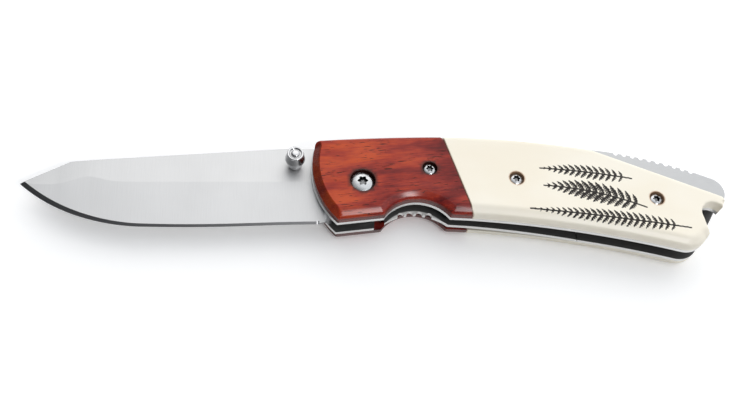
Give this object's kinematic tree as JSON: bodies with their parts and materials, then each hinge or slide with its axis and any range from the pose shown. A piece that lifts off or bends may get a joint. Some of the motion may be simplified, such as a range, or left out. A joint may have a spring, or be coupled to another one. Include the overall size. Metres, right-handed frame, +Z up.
{
  "type": "folding pocket knife",
  "caption": "Liner-lock folding knife with a drop-point blade, thumb stud, red wood bolsters and cream handle scales on steel liners; the blade folds into the handle.",
  "frame": {"origin": "middle of the open knife's box, on the plane of the rear side that it lies on", "axes": "+X from the blade's point to the butt, +Y from the edge to the back, +Z up out of the show side"},
  "size_m": [0.2004, 0.0359, 0.0153],
  "materials": {
    "blade_steel": "satin",
    "bright_steel": "polished",
    "liner_steel": "satin",
    "screw_steel": "darkened",
    "red_wood": "oiled, glossy",
    "cream_scale": "smooth",
    "bronze": "plain"
  },
  "bodies": {
    "handle": {"front_liner": "liner_steel", "rear_liner": "liner_steel", "front_bolster": "red_wood", "rear_bolster": "red_wood", "front_scale": "cream_scale", "rear_scale": "cream_scale", "back_spacer": "liner_steel", "stop_pin": "bright_steel", "spacer_pin_front": "bright_steel", "spacer_pin_back": "bright_steel", "lanyard_pin": "bright_steel", "pivot_barrel": "bright_steel", "front_washer": "bronze", "rear_washer": "bronze", "front_pivot_screw": "screw_steel", "front_bolster_screw": "screw_steel", "front_mid_screw": "screw_steel", "front_tail_screw": "screw_steel", "rear_pivot_screw": "screw_steel", "rear_bolster_screw": "screw_steel", "rear_mid_screw": "screw_steel", "rear_tail_screw": "screw_steel"},
    "blade": {"blade": "blade_steel", "thumb_stud": "bright_steel", "stud_screw": "bright_steel"},
    "leaf": {"lock_leaf": "liner_steel", "detent_ball": "bright_steel"}
  },
  "joints": [
    {"name": "blade_fold", "type": "hinge", "parent": "handle", "child": "blade", "pos_m": [-0.00735, 0.00305, 0.00703], "axis": [0, 0, 1], "range_deg": [0, 175], "deforming": ["lock_leaf", "detent_ball"]},
    {"name": "leaf_spring", "type": "hinge", "parent": "handle", "child": "leaf", "pos_m": [0.05465, -0.00798, 0.0049], "axis": [0, 1, 0], "range_deg": [-1.96, 0]}
  ],
  "couplings": [
    {"joint": "leaf_spring", "follows": "blade_fold", "ratio": -0.011143}
  ]
}
